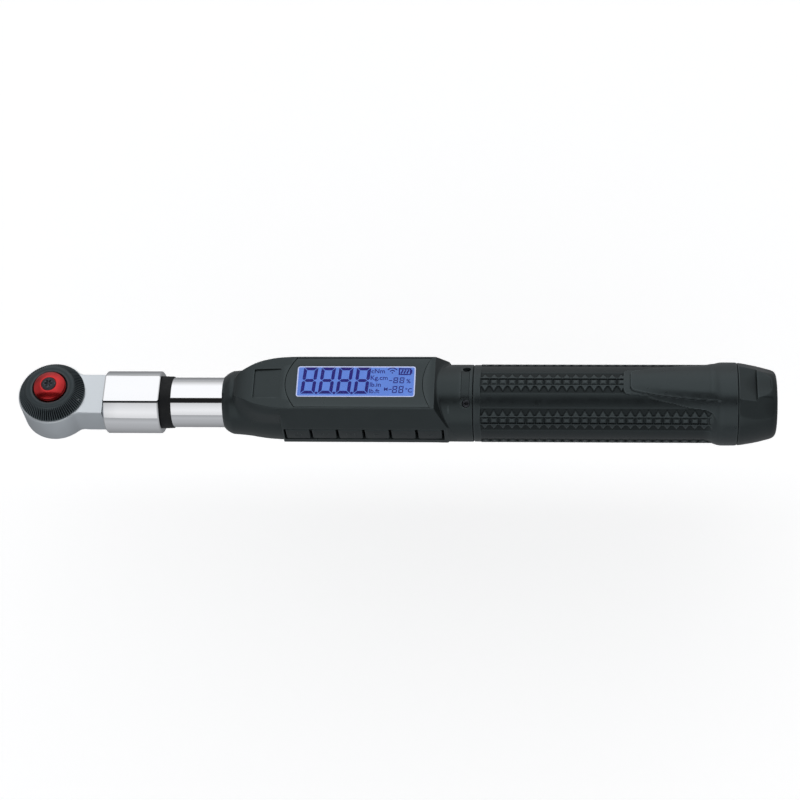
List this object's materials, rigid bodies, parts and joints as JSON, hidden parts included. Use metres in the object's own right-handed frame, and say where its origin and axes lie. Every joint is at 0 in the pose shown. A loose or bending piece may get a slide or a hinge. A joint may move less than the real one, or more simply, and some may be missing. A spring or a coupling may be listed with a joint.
{
  "type": "torque wrench",
  "caption": "Digital torque wrench: ratchet head with square drive, chrome tube, display housing with keys, studded rubber grip and screw-off battery cap.",
  "frame": {"origin": "on the drive square's axis, at the level of the tube's axis", "axes": "+X along the tube from the head to the tail cap, +Y away from the keys, +Z out of the display; the drive square points to -Z"},
  "size_m": [0.3782, 0.041, 0.0415],
  "materials": {
    "satin_steel": "satin bead-blasted nickel-chrome",
    "drive_steel": "ground alloy steel",
    "spring_steel": "plain spring steel",
    "chrome": "polished chrome plate",
    "red_anodised": "red anodised, satin",
    "black_oxide": "black oxide",
    "black_knurl": "blackened, fine radial knurl",
    "black_rubber": "plain moulded rubber",
    "gauge_film": "amber polyimide film",
    "wire_sleeve": "insulated wire",
    "black_housing": "fine moulded texture",
    "black_gloss": "semi-gloss black",
    "clear_window": "clear",
    "lcd_blue": "blue backlit cell with dark figures",
    "board_green": "solder mask",
    "chip_black": "moulded package",
    "key_black": "satin moulded key",
    "core_plastic": "glass-filled nylon",
    "grip_rubber": "moulded rubber with raised studs",
    "battery_wrap": "plain printed wrapper",
    "contact_brass": "plain",
    "black_cap": "fine moulded texture"
  },
  "bodies": {
    "frame": {"head_body": "satin_steel", "pawl_pivot": "drive_steel", "head_collar": "chrome", "seal_ring": "black_rubber", "main_tube": "chrome", "cross_pins": "drive_steel", "sensor_beam": "satin_steel", "strain_gauges": "gauge_film", "sensor_cable": "wire_sleeve", "housing_upper": "black_housing", "housing_lower": "black_housing", "index_band": "black_gloss", "nose_seal": "black_rubber", "housing_screws": "black_oxide", "set_screws": "spring_steel", "display_bezel": "black_gloss", "display_window": "clear_window", "lcd_module": "lcd_blue", "circuit_board": "board_green", "board_screws": "spring_steel", "circuit_chips": "chip_black", "buzzer": "chip_black", "dome_switches": "spring_steel", "keypad_membrane": "black_rubber", "key_board": "board_green", "grip_core": "core_plastic", "grip_sleeve": "grip_rubber", "battery_sleeve": "core_plastic", "battery_leads": "wire_sleeve", "battery_1": "battery_wrap", "battery_2": "battery_wrap", "front_contact": "contact_brass"},
    "drive": {"drive_gear": "drive_steel", "retaining_rings": "spring_steel", "button_spring": "spring_steel"},
    "button": {"release_button": "red_anodised", "plunger_pin": "drive_steel", "button_screw": "black_oxide"},
    "ball": {"detent_ball": "drive_steel"},
    "dial": {"reverse_dial": "black_knurl", "selector_pin": "drive_steel"},
    "pawl": {"pawl": "drive_steel"},
    "cap_carrier": {"cap_contact": "contact_brass", "cap_spring": "spring_steel"},
    "tail_cap": {"tail_cap": "black_cap", "cap_o_ring": "black_rubber"},
    "key_1": {"key_1": "key_black"},
    "key_2": {"key_2": "key_black"},
    "key_3": {"key_3": "key_black"},
    "key_4": {"key_4": "key_black"},
    "key_5": {"key_5": "key_black"},
    "key_6": {"key_6": "key_black"}
  },
  "joints": [
    {"name": "drive_spin", "type": "hinge", "parent": "frame", "child": "drive", "pos_m": [0, 0, -0.021], "axis": [0, 0, 1], "continuous": true},
    {"name": "button_press", "type": "slide", "parent": "drive", "child": "button", "axis": [0, 0, -1], "range_m": [0, 0.002], "stiffness_N_per_m": 600, "deforming": ["button_spring"]},
    {"name": "ball_sink", "type": "slide", "parent": "drive", "child": "ball", "axis": [0, 1, 0], "range_m": [0, 0.00045]},
    {"name": "dial_turn", "type": "hinge", "parent": "frame", "child": "dial", "pos_m": [0, 0, 0.009], "axis": [0, 0, 1], "range_deg": [0, 40]},
    {"name": "pawl_rock", "type": "hinge", "parent": "frame", "child": "pawl", "pos_m": [0.017, 0, 0], "axis": [0, 0, 1], "range_deg": [0, 12]},
    {"name": "key_1_press", "type": "slide", "parent": "frame", "child": "key_1", "axis": [0, 1, 0], "range_m": [0, 0.0008], "stiffness_N_per_m": 1500},
    {"name": "key_2_press", "type": "slide", "parent": "frame", "child": "key_2", "axis": [0, 1, 0], "range_m": [0, 0.0008], "stiffness_N_per_m": 1500},
    {"name": "key_3_press", "type": "slide", "parent": "frame", "child": "key_3", "axis": [0, 1, 0], "range_m": [0, 0.0008], "stiffness_N_per_m": 1500},
    {"name": "key_4_press", "type": "slide", "parent": "frame", "child": "key_4", "axis": [0, 1, 0], "range_m": [0, 0.0008], "stiffness_N_per_m": 1500},
    {"name": "key_5_press", "type": "slide", "parent": "frame", "child": "key_5", "axis": [0, 1, 0], "range_m": [0, 0.0008], "stiffness_N_per_m": 1500},
    {"name": "key_6_press", "type": "slide", "parent": "frame", "child": "key_6", "axis": [0, 1, 0], "range_m": [0, 0.0008], "stiffness_N_per_m": 1500},
    {"name": "cap_travel", "type": "slide", "parent": "frame", "child": "cap_carrier", "axis": [1, 0, 0], "range_m": [0, 0.012]},
    {"name": "cap_twist", "type": "hinge", "parent": "cap_carrier", "child": "tail_cap", "pos_m": [0.3417, 0, 0], "axis": [-1, 0, 0], "range_deg": [0, 1440]}
  ],
  "couplings": [
    {"joint": "ball_sink", "follows": "button_press", "ratio": 0.225},
    {"joint": "pawl_rock", "follows": "dial_turn", "ratio": 0.3},
    {"joint": "cap_travel", "follows": "cap_twist", "m_per_rad": 0.00047746}
  ]
}
